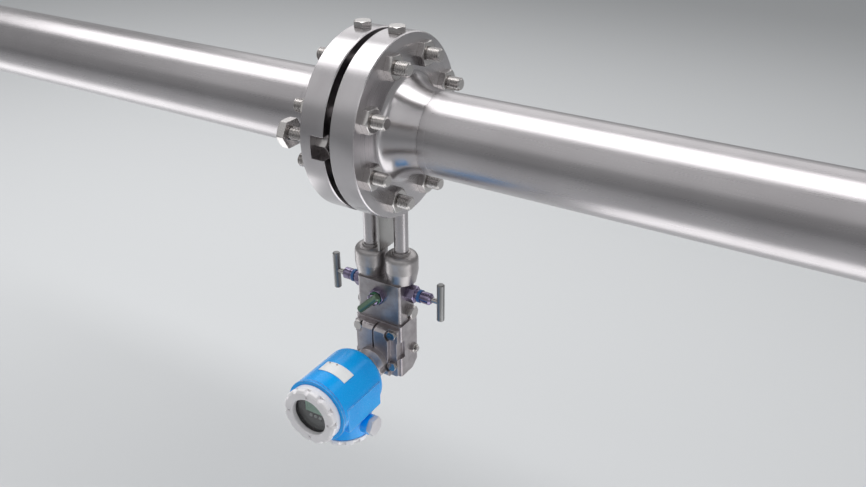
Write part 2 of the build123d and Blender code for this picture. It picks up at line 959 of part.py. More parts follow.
# Vent valves on the sides of the process flange
for side, side_name in ((-1, "upstream"), (1, "downstream")):
    vent_plane = facing((side * cell_width / 2, vent_position, port_level), (side, 0, 0))
    with BuildPart() as vent_body:
        add(
            hex_bolt(
                vent_plane,
                vent_body_flats,
                vent_body_height,
                vent_thread_diameter,
                vent_thread_length,
            )
        )
        with Locations(vent_plane.offset(vent_body_height)):
            Hole(vent_screw_diameter / 2 + fit_clearance)
    save(vent_body, f"{side_name}_vent_body")
    with BuildPart() as vent_screw:
        add(
            hex_bolt(
                vent_plane.offset(vent_body_height + needle_gap),
                vent_screw_flats,
                vent_screw_head,
                vent_screw_diameter,
                vent_body_height + vent_thread_length - thread_run_out,
            )
        )
    save(vent_screw, f"{side_name}_vent_screw")

# Sensor module with its mounting plate, block, drum and neck
module_plane = facing((0, 0, housing_level), (0, -1, 0))
with BuildPart() as sensor_module:
    with BuildSketch(Plane.XZ.offset(-cell_front)) as plate_sketch:
        with Locations((0, module_middle)):
            Rectangle(module_plate_width, module_top - module_bottom)
        fillet(plate_sketch.vertices(), module_corner)
    extrude(amount=cell_front - module_plate_front)
    extrude(
        profile(
            Plane.YZ.offset(-module_block_width / 2),
            (module_plate_front, module_top),
            (module_block_front + module_slope_depth / 2, module_top - module_slope_height / 4),
            (module_block_front, module_top - module_slope_height),
            (module_block_front, module_bottom + module_slope_height),
            (module_block_front + module_slope_depth / 2, module_bottom),
            (module_plate_front, module_bottom),
        ),
        amount=module_block_width,
    )
    add(side_waists(module_plate_front, cell_front), mode=Mode.SUBTRACT)
    extrude(
        profile(
            Plane.YZ.offset(-cell_groove_width / 2),
            (cell_front, module_top),
            (module_block_front, module_top),
            (module_block_front, module_bottom),
            (module_block_front + cell_groove_depth, module_bottom),
            (module_block_front + cell_groove_depth, module_top - cell_groove_depth),
            (cell_front, module_top - cell_groove_depth),
        ),
        amount=cell_groove_width,
        mode=Mode.SUBTRACT,
    )
    neck_end = -housing_back + neck_engagement
    add(
        turned(
            module_plane,
            (0, -module_block_front),
            (module_drum_diameter / 2, -module_block_front),
            (module_drum_diameter / 2, -module_drum_front - module_cone_length),
            (neck_diameter / 2, -module_drum_front),
            (neck_diameter / 2, neck_end),
            (neck_bore / 2, neck_end),
            (neck_bore / 2, -module_drum_front),
            (0, -module_drum_front),
        )
    )
    with BuildSketch(Plane.XZ.offset(-cell_front)):
        with Locations((-tap_x, port_level), (tap_x, port_level)):
            Circle(module_seal_diameter / 2)
    extrude(amount=module_seal_thickness, mode=Mode.SUBTRACT)
    for side in (-1, 1):
        for bolt_level in (flange_bolt_top, flange_bolt_bottom):
            with Locations(
                facing((side * flange_bolt_offset, module_block_front, bolt_level), (0, -1, 0))
            ):
                CounterBoreHole(
                    radius=flange_bolt_diameter / 2,
                    counter_bore_radius=flange_bolt_pocket / 2,
                    counter_bore_depth=module_plate_front - module_block_front,
                )
save(sensor_module, "sensor_module")

# Seals between the sensor module and the process flange
with BuildPart() as module_seals:
    for side in (-1, 1):
        seat = facing((side * tap_x, cell_front, port_level), (0, -1, 0))
        extrude(disc(seat, module_seal_diameter, module_seal_bore), amount=module_seal_thickness)
save(module_seals, "module_seals")

# Bolts through the module's mounting plate into the process flange
with BuildPart() as flange_bolts:
    for side in (-1, 1):
        for bolt_level in (flange_bolt_top, flange_bolt_bottom):
            add(
                hex_bolt(
                    facing((side * flange_bolt_offset, module_plate_front, bolt_level), (0, -1, 0)),
                    flange_bolt_flats,
                    flange_bolt_head,
                    flange_bolt_diameter,
                    cell_front - module_plate_front + flange_bolt_engagement - thread_run_out,
                )
            )
save(flange_bolts, "flange_bolts")

# Housing with an electronics barrel in front and a terminal chamber below
barrel_length = housing_back - housing_front
barrel_face = facing((0, housing_front, housing_level), (0, -1, 0))
terminal_face = facing((0, terminal_position, terminal_mouth), (0, 0, -1))
with BuildPart() as housing:
    extrude(disc(barrel_face, housing_diameter), amount=-barrel_length)
    fillet(housing.edges().sort_by(Axis.Y)[-1], housing_back_radius)
    extrude(disc(barrel_face, collar_diameter), amount=-collar_length)
    groove_floor = housing_diameter - 2 * collar_groove_depth
    extrude(
        disc(barrel_face.offset(-collar_length), housing_diameter + collar_length, groove_floor),
        amount=-collar_groove_width,
        mode=Mode.SUBTRACT,
    )
    with BuildSketch(Plane.XY.offset(cheek_bottom)) as cheek_sketch:
        with Locations((0, (cheek_back + cheek_front) / 2)):
            Rectangle(cheek_width, cheek_back - cheek_front)
        fillet(cheek_sketch.vertices(), cheek_corner)
    extrude(amount=cheek_top - cheek_bottom)
    extrude(disc(terminal_face, terminal_diameter), amount=-(housing_level - terminal_mouth))
    boss_plane = facing((-entry_reach, terminal_position, entry_level), (1, 0, 0))
    extrude(disc(boss_plane, entry_boss_diameter), amount=2 * entry_reach)
    with Locations(barrel_face):
        CounterBoreHole(
            radius=barrel_bore_diameter / 2,
            counter_bore_radius=thread_bore_diameter / 2,
            counter_bore_depth=thread_bore_depth,
            depth=barrel_bore_end - housing_front,
        )
    with Locations(facing((0, housing_back, housing_level), (0, 1, 0))):
        CounterBoreHole(
            radius=neck_bore / 2,
            counter_bore_radius=neck_diameter / 2 + fit_clearance,
            counter_bore_depth=neck_engagement + needle_gap,
            depth=housing_back - barrel_bore_end,
        )
    with Locations(terminal_face):
        Hole(terminal_bore_diameter / 2, depth=terminal_ceiling - terminal_mouth)
    with Locations(facing((0, wire_way_position, terminal_ceiling), (0, 0, -1))):
        Hole(wire_way_diameter / 2, depth=housing_level - terminal_ceiling)
    extrude(disc(boss_plane, entry_bore_diameter), amount=2 * entry_reach, mode=Mode.SUBTRACT)
    lock_plane = facing((0, (housing_back + cheek_back) / 2, housing_level), (-1, 0, 0))
    lock_start = neck_diameter / 2 + needle_gap
    extrude(
        disc(lock_plane, lock_screw_diameter),
        amount=housing_radius,
        mode=Mode.SUBTRACT,
    )
save(housing, "housing")

# Set screw that locks the housing on the neck
with BuildPart() as lock_screw:
    extrude(disc(lock_plane.offset(lock_start), lock_screw_diameter), amount=lock_screw_length)
    with BuildSketch(lock_plane.offset(lock_start + lock_screw_length)):
        RegularPolygon(radius=lock_screw_diameter / 4, side_count=6)
    extrude(amount=-lock_screw_length / 2, mode=Mode.SUBTRACT)
save(lock_screw, "lock_screw")


# Screwed covers, described outwards from the mouth that each one closes
def seal_ring(mouth, bore_diameter):
    """Ring seal in the groove of a cover's skirt."""
    outer = bore_diameter / 2 - seal_clearance
    start = -seal_ring_offset - seal_ring_width
    return turned(
        mouth,
        (outer - seal_ring_depth, start),
        (outer - seal_ring_depth / 4, start),
        (outer, start + seal_ring_width / 4),
        (outer, start + seal_ring_width * 3 / 4),
        (outer - seal_ring_depth / 4, start + seal_ring_width),
        (outer - seal_ring_depth, start + seal_ring_width),
    )


def seal_groove(mouth, bore_diameter):
    """Room for the ring seal, with a clearance all round."""
    inner = bore_diameter / 2 - seal_clearance - seal_ring_depth - seal_clearance
    top = -seal_ring_offset + seal_clearance
    bottom = -seal_ring_offset - seal_ring_width - seal_clearance
    return turned(
        mouth,
        (inner, bottom),
        (bore_diameter / 2, bottom),
        (bore_diameter / 2, top),
        (inner, top),
    )


def finger_notches(start, end, diameter):
    """Cutters for the notches round a cover's edge, from one plane to another."""
    height = (end.origin - start.origin).length
    with BuildPart() as cutters:
        with BuildSketch(start):
            with PolarLocations(
                diameter / 2 + cover_lug_width / 2 - cover_lug_depth, cover_lug_count
            ):
                Circle(cover_lug_width / 2)
        extrude(amount=height)
    return cutters.part


# Display cover with its window opening
cover_end = cover_gap + cover_length
skirt_outer = thread_bore_diameter / 2 - fit_clearance
skirt_inner = skirt_outer - cover_skirt_wall
glass_seat = cover_end - window_lip
retainer_back = glass_seat - glass_thickness - retainer_thickness
with BuildPart() as display_cover:
    add(
        turned(
            barrel_face,
            (skirt_inner, -cover_skirt_length),
            (skirt_outer, -cover_skirt_length),
            (skirt_outer, cover_gap),
            (cover_diameter / 2, cover_gap),
            (cover_diameter / 2, cover_gap + cover_band),
            (cover_front_diameter / 2, cover_end - cover_edge_chamfer),
            (cover_front_diameter / 2 - cover_edge_chamfer, cover_end),
            (window_diameter / 2 + window_bevel, cover_end),
            (window_diameter / 2, cover_end - window_bevel),
            (window_diameter / 2, glass_seat),
            (glass_diameter / 2 + fit_clearance, glass_seat),
            (glass_diameter / 2 + fit_clearance, retainer_back),
            (skirt_inner, retainer_back),
        )
    )
    add(seal_groove(barrel_face, thread_bore_diameter), mode=Mode.SUBTRACT)
    add(
        finger_notches(
            barrel_face.offset(cover_end - cover_lug_length),
            barrel_face.offset(cover_end),
            cover_front_diameter,
        ),
        mode=Mode.SUBTRACT,
    )
    with Locations(barrel_face.offset(cover_end)):
        with PolarLocations(spanner_hole_circle_diameter / 2, spanner_hole_count):
            Hole(spanner_hole_diameter / 2, depth=spanner_hole_depth)
save(display_cover, "display_cover")

with BuildPart() as sight_glass:
    extrude(disc(barrel_face.offset(glass_seat), glass_diameter), amount=-glass_thickness)
save(sight_glass, "sight_glass")

with BuildPart() as glass_retainer:
    retainer_plane = barrel_face.offset(retainer_back)
    extrude(disc(retainer_plane, glass_diameter, window_diameter), amount=retainer_thickness)
save(glass_retainer, "glass_retainer")

with BuildPart() as display_cover_seal:
    add(seal_ring(barrel_face, thread_bore_diameter))
save(display_cover_seal, "display_cover_seal")

# Display, its screen and its three keys
display_plane = barrel_face.offset(-display_depth)
with BuildPart() as display_module:
    extrude(disc(display_plane, display_diameter), amount=-display_thickness)
    with BuildSketch(display_plane):
        for step in (-1, 0, 1):
            with Locations((step * key_spacing, key_offset)):
                Circle(key_diameter / 2 + key_clearance)
    extrude(
        amount=-(key_depth + key_travel + needle_gap),
        mode=Mode.SUBTRACT,
    )
save(display_module, "display_module")

with BuildPart() as display_screen:
    with BuildSketch(display_plane):
        with Locations((0, lcd_offset)):
            Rectangle(lcd_width, lcd_height)
    extrude(amount=lcd_proud)
save(display_screen, "display_screen")

for step, name in ((-1, "left_key"), (0, "middle_key"), (1, "right_key")):
    with BuildPart() as key:
        with BuildSketch(display_plane.offset(-key_depth)):
            with Locations((step * key_spacing, key_offset)):
                Circle(key_diameter / 2)
        extrude(amount=key_depth + key_proud)
    save(key, name)

with BuildPart() as electronics_module:
    board_plane = display_plane.offset(-display_thickness)
    board_depth = barrel_bore_end - housing_front - display_depth - display_thickness
    extrude(disc(board_plane, electronics_diameter), amount=-board_depth)
save(electronics_module, "electronics_module")

# Terminal cover, its seal, and the terminal block with its screws
lid_end = cover_gap + terminal_cover_length
lid_skirt_outer = terminal_bore_diameter / 2 - fit_clearance
lid_skirt_inner = lid_skirt_outer - cover_skirt_wall
with BuildPart() as terminal_cover:
    add(
        turned(
            terminal_face,
            (lid_skirt_inner, -terminal_skirt_length),
            (lid_skirt_outer, -terminal_skirt_length),
            (lid_skirt_outer, cover_gap),
            (terminal_cover_diameter / 2, cover_gap),
            (terminal_cover_diameter / 2, cover_gap + terminal_cover_band),
            (terminal_cover_face_diameter / 2, lid_end),
            (0, lid_end),
            (0, lid_end - terminal_cover_face_thickness),
            (lid_skirt_inner, lid_end - terminal_cover_face_thickness),
        )
    )
    add(seal_groove(terminal_face, terminal_bore_diameter), mode=Mode.SUBTRACT)
    add(
        finger_notches(
            terminal_face.offset(lid_end - cover_lug_length),
            terminal_face.offset(lid_end),
            terminal_cover_face_diameter,
        ),
        mode=Mode.SUBTRACT,
    )
save(terminal_cover, "terminal_cover")

with BuildPart() as terminal_cover_seal:
    add(seal_ring(terminal_face, terminal_bore_diameter))
save(terminal_cover_seal, "terminal_cover_seal")

terminal_top = facing((0, terminal_position, terminal_ceiling), (0, 0, -1))
with BuildPart() as terminal_block:
    extrude(disc(terminal_top, terminal_block_diameter), amount=terminal_block_thickness)
save(terminal_block, "terminal_block")

with BuildPart() as terminal_screws:
    with BuildSketch(terminal_top.offset(terminal_block_thickness)):
        with PolarLocations(terminal_screw_circle_diameter / 2, terminal_screw_count):
            Circle(terminal_screw_diameter / 2)
    extrude(amount=terminal_screw_height)
    with BuildSketch(terminal_top.offset(terminal_block_thickness + terminal_screw_height)):
        with PolarLocations(terminal_screw_circle_diameter / 2, terminal_screw_count):
            Rectangle(terminal_screw_slot, terminal_screw_diameter)
    extrude(amount=-terminal_screw_height / 2, mode=Mode.SUBTRACT)
save(terminal_screws, "terminal_screws")

# Blanking plug in the right-hand cable entry
with BuildPart() as blanking_plug:
    blank_plane = facing((entry_reach, terminal_position, entry_level), (1, 0, 0))
    add(
        hex_bolt(
            blank_plane,
            blanking_head_diameter,
            blanking_head_length,
            entry_bore_diameter,
            blanking_shank_length,
        )
    )
save(blanking_plug, "blanking_plug")

# Bare nameplate curved over the top of the housing, on two drive pins
plate_plane = facing((0, nameplate_back, housing_level), (0, -1, 0))
with BuildPart() as nameplate:
    with BuildSketch(plate_plane):
        with BuildLine():
            first = 90 - nameplate_end
            sweep_angle = nameplate_end - nameplate_start
            plate_radius = housing_radius + nameplate_gap
            inner_arc = CenterArc((0, 0), plate_radius, first, sweep_angle)
            outer_arc = CenterArc(
                (0, 0), plate_radius + nameplate_thickness, first, sweep_angle
            )
            Line(inner_arc @ 0, outer_arc @ 0)
            Line(inner_arc @ 1, outer_arc @ 1)
        make_face()
    extrude(amount=nameplate_length)
    pin_planes = []
    for pin_angle in nameplate_pin_angles:
        tilt = radians(pin_angle)
        pin_y = nameplate_back - nameplate_pin_inset
        outward = Vector(sin(tilt), 0, cos(tilt))
        root = Vector(0, pin_y, housing_level) + outward * (housing_radius - nameplate_pin_depth)
        pin_planes.append(Plane(origin=root, x_dir=(0, 1, 0), z_dir=outward))
    for pin_plane in pin_planes:
        extrude(
            disc(pin_plane, nameplate_pin_diameter),
            amount=2 * nameplate_pin_depth,
            mode=Mode.SUBTRACT,
        )
save(nameplate, "nameplate")

with BuildPart() as nameplate_pins:
    for pin_plane in pin_planes:
        extrude(
            disc(pin_plane.offset(nameplate_pin_depth), nameplate_pin_diameter),
            amount=nameplate_gap + nameplate_thickness + nameplate_pin_height,
        )
save(nameplate_pins, "nameplate_pins")
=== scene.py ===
"""Orifice plate meter run with its manifold and transmitter, dressed for a studio view."""
import json
import math

import bmesh
import bpy
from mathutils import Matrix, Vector


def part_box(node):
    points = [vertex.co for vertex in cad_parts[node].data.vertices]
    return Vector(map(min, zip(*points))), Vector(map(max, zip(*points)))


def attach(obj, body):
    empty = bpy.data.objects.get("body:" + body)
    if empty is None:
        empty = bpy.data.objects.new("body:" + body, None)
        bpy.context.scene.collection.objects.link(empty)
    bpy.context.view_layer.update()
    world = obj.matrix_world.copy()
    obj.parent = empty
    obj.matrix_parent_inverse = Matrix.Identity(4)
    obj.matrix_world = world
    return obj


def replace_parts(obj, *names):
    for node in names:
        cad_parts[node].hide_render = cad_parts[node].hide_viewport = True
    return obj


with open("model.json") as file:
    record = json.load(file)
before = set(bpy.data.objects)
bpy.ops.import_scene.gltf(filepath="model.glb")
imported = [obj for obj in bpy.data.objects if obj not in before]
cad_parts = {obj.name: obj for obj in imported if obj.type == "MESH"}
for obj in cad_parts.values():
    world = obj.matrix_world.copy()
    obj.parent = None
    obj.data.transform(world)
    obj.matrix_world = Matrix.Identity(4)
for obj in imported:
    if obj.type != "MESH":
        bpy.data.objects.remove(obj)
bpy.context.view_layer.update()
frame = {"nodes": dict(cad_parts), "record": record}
nodes = frame["nodes"]
node_bodies = {
    node: body for body, members in frame["record"]["behaviour"]["bodies"].items() for node in members
}

MM = 0.001
MICRON = 0.000001

# Camera, fitted to the photograph
CAMERA_PLACE = Vector((0.645, -0.925, 0.411))
CAMERA_AZIMUTH = math.radians(31.37)
CAMERA_PITCH = math.radians(28.1)
CAMERA_LENS = 36.0
CAMERA_SENSOR = 36.0

# Floor and world
FLOOR_LEVEL = -0.72
FLOOR_SIZE = 40.0
FLOOR_COLOUR = (0.60, 0.61, 0.62)
FLOOR_ROUGHNESS = 0.9
WORLD_COLOUR = (0.78, 0.79, 0.80)
WORLD_STRENGTH = 0.45

# Lamps: place, target, width, depth and power. The two low strips light the underside of the
# pipes and leave the transmitter's pale underside out of their light.
LAMPS = {
    "overhead": ((-1.0, 0.3, 1.9), (-1.0, 0.3, 0.0), 4.6, 1.45, 66.0),
    "front": ((-0.8, -1.7, 1.7), (-0.8, 0.0, 0.0), 4.6, 1.7, 10.0),
    "back": ((-0.8, 2.6, 1.7), (-0.8, 0.0, 0.0), 4.6, 1.9, 24.0),
    "fill": ((1.9, -0.9, 0.5), (0.0, -0.05, -0.15), 0.5, 1.6, 2.2),
    "under_left": ((-1.6, -0.12, -0.70), (-1.6, -0.12, 0.0), 2.2, 0.42, 4.4),
    "under_right": ((0.76, -0.12, -0.70), (0.76, -0.12, 0.0), 1.28, 0.42, 2.6),
}

# Edges and wear of every finish; on paint the lighter edges are partly wear and partly a painted highlight
METAL_ROUNDING = 0.8 * MM
PAINT_ROUNDING = 1.6 * MM
ROUNDING_SAMPLES = 6
EDGE_WEAR_AND_HIGHLIGHT_SAMPLES = 4
EDGE_WEAR_AND_HIGHLIGHT_ALIGNMENT = (0.86, 0.99)
EDGE_WEAR_AND_HIGHLIGHT_SHARES = (0.2, 1.0)
EDGE_WEAR_AND_HIGHLIGHT_NOISE = 180.0
METAL_WEAR_GAIN = 1.3
# The paint's lighter edge colour is partly bare wear and partly a painted highlight on rounded edges
PAINT_WEAR_AND_HIGHLIGHT_GAIN = 0.45
PAINT_WEAR_AND_HIGHLIGHT_LIFT = 0.5
FACE_ALIGNMENT = (0.90, 0.99)
NOISE_MIDDLE = (0.35, 0.65)
NOISE_ROUGHNESS = 0.55

# Studs and jack screws, with the sizes of part.py
STUD_COUNT = 8
STUD_RADIUS = 9.525 * MM
STUD_CHAMFER = 1.6 * MM
THREADED_LENGTH = 32.0 * MM
JACK_HEAD_HEIGHT = 12.5 * MM
JACK_HEAD_ACROSS_FLATS = 36.5 * MM
HEAD_OVERLAP = 1.0 * MM

# Thread: the widths of its root and crest are shares of the pitch to each side
THREAD_PITCH = 2.54 * MM
THREAD_DEPTH = 0.613 * THREAD_PITCH
THREAD_STEPS = 28
THREAD_ROOT_REACH = 0.44
THREAD_CREST_REACH = 0.07
THREAD_SINK = 0.1 * MM

# Hexagon heads: a cone that starts inside the flats' distance cuts the corners
HEX_STEPS = 72
HEX_CHAMFER_DEPTHS = (0.0, 0.4 * MM, 0.8 * MM, 1.2 * MM, 1.8 * MM)
HEX_CHAMFER_START = 0.97
HEX_CHAMFER_SLOPE = 1.75

# Welds
WELD_RUNOUT = 2.0 * MM
WELD_GRINDING = 0.12
WELD_ROWS = 16
WELD_STEPS = 160
WELD_DEPTH = 2.0 * MM
WELD_EDGE_SINK = 0.01 * MM

# Cover rim: millimetres behind the cover's front, radius in millimetres, share of a notch's depth
RIM_PROFILE = (
    (9.8, 42.4, 0.0),
    (9.2, 42.3, 1.0),
    (8.4, 43.4, 1.0),
    (7.4, 43.9, 1.0),
    (3.4, 43.9, 1.0),
    (2.0, 43.4, 1.0),
    (1.1, 42.4, 1.0),
    (0.7, 41.1, 0.9),
    (0.7, 37.5, 0.0),
    (9.8, 37.5, 0.0),
)
RIM_STEPS = 360
RIM_SHARP_ANGLE = math.radians(35)
LOBE_COUNT = 12
LOBE_NOTCH_ANGLE = math.radians(1.5)
NOTCH_DEPTH = 3.2 * MM
NOTCH_FLOOR = math.radians(2.0)
NOTCH_FLANK = math.radians(4.5)

# Unlit digits of the display, as shares of the screen's width and height
DIGIT_COUNT = 4
DIGIT_STEP = 0.21
DIGIT_WIDTH = 0.13
DIGIT_HEIGHT = 0.52
STROKE_THICKNESS = 0.03
STROKE_LIFT = 0.08 * MM
# What a level and an upright stroke give up of their length, in thicknesses
LEVEL_SHORTENING = 0.6
UPRIGHT_SHORTENING = 0.4
# Strokes of a digit: across and up as shares of its size, and whether it lies level
STROKES = (
    (0.0, 1.0, True),
    (0.0, 0.5, True),
    (0.0, 0.0, True),
    (-0.5, 0.75, False),
    (0.5, 0.75, False),
    (-0.5, 0.25, False),
    (0.5, 0.25, False),
)
UNLIT_DEEP = (0.25, 0.50, 0.36)
UNLIT_BRIGHT = (0.30, 0.56, 0.41)

# Finishes, by material slot
METALS = {
    "pipe_steel": {
        "dark": (0.42, 0.40, 0.41),
        "light": (0.46, 0.44, 0.45),
        "rough": (0.27, 0.31),
        "grain": 900.0,
        "stretch": (0.02, 1, 1),
        "depth": 2 * MICRON,
    },
    "weld_steel": {
        "dark": (0.42, 0.40, 0.41),
        "light": (0.46, 0.44, 0.45),
        "rough": (0.28, 0.33),
        "grain": 420.0,
        "depth": 4 * MICRON,
    },
    "bolt_steel": {
        "dark": (0.46, 0.44, 0.43),
        "light": (0.54, 0.52, 0.51),
        "rough": (0.18, 0.28),
        "grain": 500.0,
        "depth": 10 * MICRON,
    },
    "plate_steel": {
        "dark": (0.38, 0.37, 0.36),
        "light": (0.46, 0.45, 0.44),
        "rough": (0.26, 0.38),
        "grain": 420.0,
        "stretch": (1, 1, 0.08),
    },
    "adapter_steel": {
        "dark": (0.38, 0.36, 0.36),
        "light": (0.48, 0.46, 0.46),
        "rough": (0.34, 0.46),
        "grain": 420.0,
        "stretch": (1, 1, 5),
        "mottle": 45.0,
    },
    "manifold_steel": {
        "dark": (0.28, 0.26, 0.27),
        "light": (0.40, 0.38, 0.39),
        "rough": (0.34, 0.48),
        "grain": 1500.0,
        "depth": 40 * MICRON,
        "mottle": 60.0,
    },
    "valve_chrome": {
        "dark": (0.20, 0.17, 0.27),
        "light": (0.32, 0.28, 0.40),
        "rough": (0.16, 0.26),
        "grain": 500.0,
        "depth": 10 * MICRON,
        "mottle": 90.0,
    },
    "handle_steel": {
        "dark": (0.22, 0.22, 0.22),
        "light": (0.30, 0.30, 0.30),
        "rough": (0.34, 0.46),
        "grain": 900.0,
    },
    "cell_steel": {
        "dark": (0.36, 0.33, 0.34),
        "light": (0.48, 0.45, 0.46),
        "rough": (0.32, 0.46),
        "grain": 1300.0,
        "depth": 50 * MICRON,
        "mottle": 60.0,
    },
    "brass_screw": {
        "dark": (0.52, 0.36, 0.12),
        "light": (0.66, 0.48, 0.20),
        "rough": (0.24, 0.36),
        "grain": 500.0,
    },
}
TURNED_METALS = {
    "flange_steel": {
        "dark": (0.46, 0.44, 0.45),
        "light": (0.53, 0.51, 0.52),
        "rough": (0.22, 0.32),
        "axis": 0,
        "centre": (0, 0, 0),
    },
}
# Deep and bright tone, roughness, clear coat
PAINTS = {
    "housing_paint": ((0.0, 0.37, 0.94), (0.0, 0.42, 1.0), 0.24, 0.25),
    "cover_paint": ((0.84, 0.82, 0.84), (0.90, 0.88, 0.90), 0.34, 0.3),
    "nameplate": ((0.92, 0.93, 0.93), (0.96, 0.97, 0.97), 0.28, 0.4),
    "plug_paint": ((0.62, 0.60, 0.63), (0.70, 0.68, 0.71), 0.36, 0.2),
}
# Deep and bright tone, roughness
MOULDINGS = {
    "gasket": ((0.02, 0.02, 0.022), (0.04, 0.04, 0.045), 0.7),
    "blue_marker": ((0.02, 0.10, 0.30), (0.04, 0.15, 0.40), 0.4),
    "green_marker": ((0.03, 0.16, 0.08), (0.06, 0.24, 0.12), 0.4),
    "seal": ((0.01, 0.01, 0.01), (0.02, 0.02, 0.02), 0.6),
    "seal_white": ((0.70, 0.70, 0.67), (0.78, 0.78, 0.75), 0.45),
    "display_black": ((0.010, 0.012, 0.010), (0.020, 0.022, 0.020), 0.45),
    "key_plastic": ((0.42, 0.42, 0.42), (0.52, 0.52, 0.52), 0.4),
    "board": ((0.02, 0.07, 0.03), (0.03, 0.11, 0.05), 0.5),
    "terminal_plastic": ((0.03, 0.03, 0.03), (0.06, 0.06, 0.06), 0.5),
}
SCREEN_DEEP = (0.31, 0.60, 0.43)
SCREEN_BRIGHT = (0.37, 0.68, 0.50)
# The equalizing valve's bar is greenish in the photo, unlike the other two
GREEN_BAR = {"dark": (0.13, 0.20, 0.14), "light": (0.20, 0.28, 0.21), "rough": (0.34, 0.46), "grain": 900.0}


# Materials
class Recipe:
    """A small writer for one material's shader nodes."""

    def __init__(self, name, rounding=METAL_ROUNDING):
        self.rounding = rounding
        self.material = bpy.data.materials.new(name)
        self.material.use_nodes = True
        self.tree = self.material.node_tree
        self.shader = self.tree.nodes["Principled BSDF"]
        self.place = self.tree.nodes.new("ShaderNodeTexCoord").outputs["Object"]

    def add(self, kind, **values):
        """A new node of a kind, with its properties set."""
        node = self.tree.nodes.new(kind)
        for key, value in values.items():
            setattr(node, key, value)
        return node

    def link(self, source, target):
        """A link from one socket to another."""
        self.tree.links.new(source, target)

    def set(self, **values):
        """Sets sockets on the shader by name, with spaces written as underscores."""
        for key, value in values.items():
            self.shader.inputs[key.replace("_", " ")].default_value = value

    def stretched(self, scale):
        """Object coordinates scaled by a factor along each axis."""
        node = self.add("ShaderNodeMapping")
        node.inputs["Scale"].default_value = scale
        self.link(self.place, node.inputs["Vector"])
        return node.outputs["Vector"]

    def noise(self, scale, detail, vector=None):
        """Noise over the object's own coordinates, or over others."""
        node = self.add("ShaderNodeTexNoise")
        node.inputs["Scale"].default_value = scale
        node.inputs["Detail"].default_value = detail
        node.inputs["Roughness"].default_value = NOISE_ROUGHNESS
        self.link(vector or self.place, node.inputs["Vector"])
        return node.outputs["Fac"]

    def remap(self, value, low, high, source=NOISE_MIDDLE):
        """A value's range, which is a noise's middle unless given, spread from low to high."""
        node = self.add("ShaderNodeMapRange")
        node.inputs["From Min"].default_value = source[0]
        node.inputs["From Max"].default_value = source[1]
        node.inputs["To Min"].default_value = low
        node.inputs["To Max"].default_value = high
        self.link(value, node.inputs["Value"])
        return node.outputs["Result"]

    def blend(self, factor, first, second):
        """One colour turning into another along a factor."""
        node = self.add("ShaderNodeMix", data_type="RGBA")
        self.link(factor, node.inputs["Factor"])
        node.inputs["A"].default_value = (*first, 1.0)
        node.inputs["B"].default_value = (*second, 1.0)
        return node.outputs["Result"]

    def over(self, factor, under, colour):
        """A colour laid over another node's colour along a factor."""
        node = self.add("ShaderNodeMix", data_type="RGBA")
        self.link(factor, node.inputs["Factor"])
        self.link(under, node.inputs["A"])
        node.inputs["B"].default_value = (*colour, 1.0)
        return node.outputs["Result"]

    def times(self, first, second):
        """The product of two values."""
        node = self.add("ShaderNodeMath", operation="MULTIPLY")
        self.link(first, node.inputs[0])
        self.link(second, node.inputs[1])
        return node.outputs["Value"]

    def surface_normal(self):
        """The surface's own normal."""
        return self.add("ShaderNodeNewGeometry").outputs["Normal"]

    def around(self, axis, centre):
        """Distance from a line through a point, along one of the three axes."""
        shift = self.add("ShaderNodeVectorMath", operation="SUBTRACT")
        self.link(self.place, shift.inputs[0])
        shift.inputs[1].default_value = centre
        flat = self.add("ShaderNodeVectorMath", operation="MULTIPLY")
        self.link(shift.outputs["Vector"], flat.inputs[0])
        flat.inputs[1].default_value = [0.0 if step == axis else 1.0 for step in range(3)]
        length = self.add("ShaderNodeVectorMath", operation="LENGTH")
        self.link(flat.outputs["Vector"], length.inputs[0])
        return length.outputs["Value"]

    def facing_along(self, axis):
        """One where the surface faces along an axis, and zero where it turns away."""
        parts = self.add("ShaderNodeSeparateXYZ")
        self.link(self.surface_normal(), parts.inputs["Vector"])
        size = self.add("ShaderNodeMath", operation="ABSOLUTE")
        self.link(parts.outputs[axis], size.inputs[0])
        return self.remap(size.outputs["Value"], 0.0, 1.0, FACE_ALIGNMENT)

    def rounded(self, samples=ROUNDING_SAMPLES):
        """Normals that turn over edges as if these were slightly rounded."""
        edge = self.add("ShaderNodeBevel", samples=samples)
        edge.inputs["Radius"].default_value = self.rounding
        return edge.outputs["Normal"]

    def worn_and_highlit_edges(self):
        """One along edges and zero on open faces, broken up by a noise: worn edges on metal, worn edges with
        a painted highlight on paint.
        """
        match = self.add("ShaderNodeVectorMath", operation="DOT_PRODUCT")
        self.link(self.rounded(EDGE_WEAR_AND_HIGHLIGHT_SAMPLES), match.inputs[0])
        self.link(self.surface_normal(), match.inputs[1])
        edge = self.remap(match.outputs["Value"], 1.0, 0.0, EDGE_WEAR_AND_HIGHLIGHT_ALIGNMENT)
        return self.times(edge, self.remap(self.noise(EDGE_WEAR_AND_HIGHLIGHT_NOISE, 4.0), *EDGE_WEAR_AND_HIGHLIGHT_SHARES))

    def bump(self, height, distance):
        """Surface relief over the rounded edges."""
        node = self.add("ShaderNodeBump")
        node.inputs["Distance"].default_value = distance
        self.link(height, node.inputs["Height"])
        self.link(self.rounded(), node.inputs["Normal"])
        self.link(node.outputs["Normal"], self.shader.inputs["Normal"])

    def rough(self, value):
        """The shader's roughness from a value."""
        self.link(value, self.shader.inputs["Roughness"])

    def colour(self, value):
        """The shader's base colour from a colour."""
        self.link(value, self.shader.inputs["Base Color"])

    def worn_metal(self, broad, dark, light):
        """A metal's two tones along a noise, brighter where its edges are worn."""
        tone = self.blend(self.remap(broad, 0.0, 1.0), dark, light)
        edge_tone = tuple(min(1.0, METAL_WEAR_GAIN * part) for part in light)
        self.colour(self.over(self.worn_and_highlit_edges(), tone, edge_tone))


